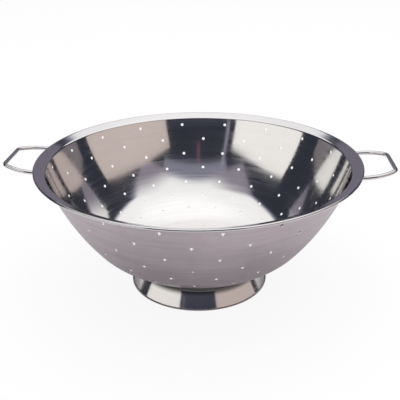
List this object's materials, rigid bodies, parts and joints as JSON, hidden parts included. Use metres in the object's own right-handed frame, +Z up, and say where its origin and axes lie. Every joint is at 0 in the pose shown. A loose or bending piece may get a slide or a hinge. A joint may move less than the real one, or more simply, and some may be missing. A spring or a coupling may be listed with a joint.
{
  "type": "footed colander",
  "caption": "Footed stainless steel colander: a deep round bowl with rings of drain holes, a sloped rim with a rolled edge, a flared foot ring and two wire loop handles.",
  "frame": {"origin": "on the table under the middle of the bowl, at the underside of the foot ring", "axes": "+X through the middle of the right-hand handle, +Y away from the viewer, +Z up along the axis of the bowl"},
  "size_m": [0.475, 0.3998, 0.1655],
  "materials": {
    "bowl_steel": "stainless sheet, polished inside and on the rim, satin outside",
    "foot_steel": "polished stainless sheet",
    "handle_steel": "polished stainless rod",
    "weld_steel": "dull stainless weld metal"
  },
  "bodies": {
    "root": {"bowl": "bowl_steel", "foot_ring": "foot_steel", "left_handle": "handle_steel", "right_handle": "handle_steel", "left_handle_welds": "weld_steel", "right_handle_welds": "weld_steel", "foot_ring_welds": "weld_steel"}
  },
  "joints": []
}
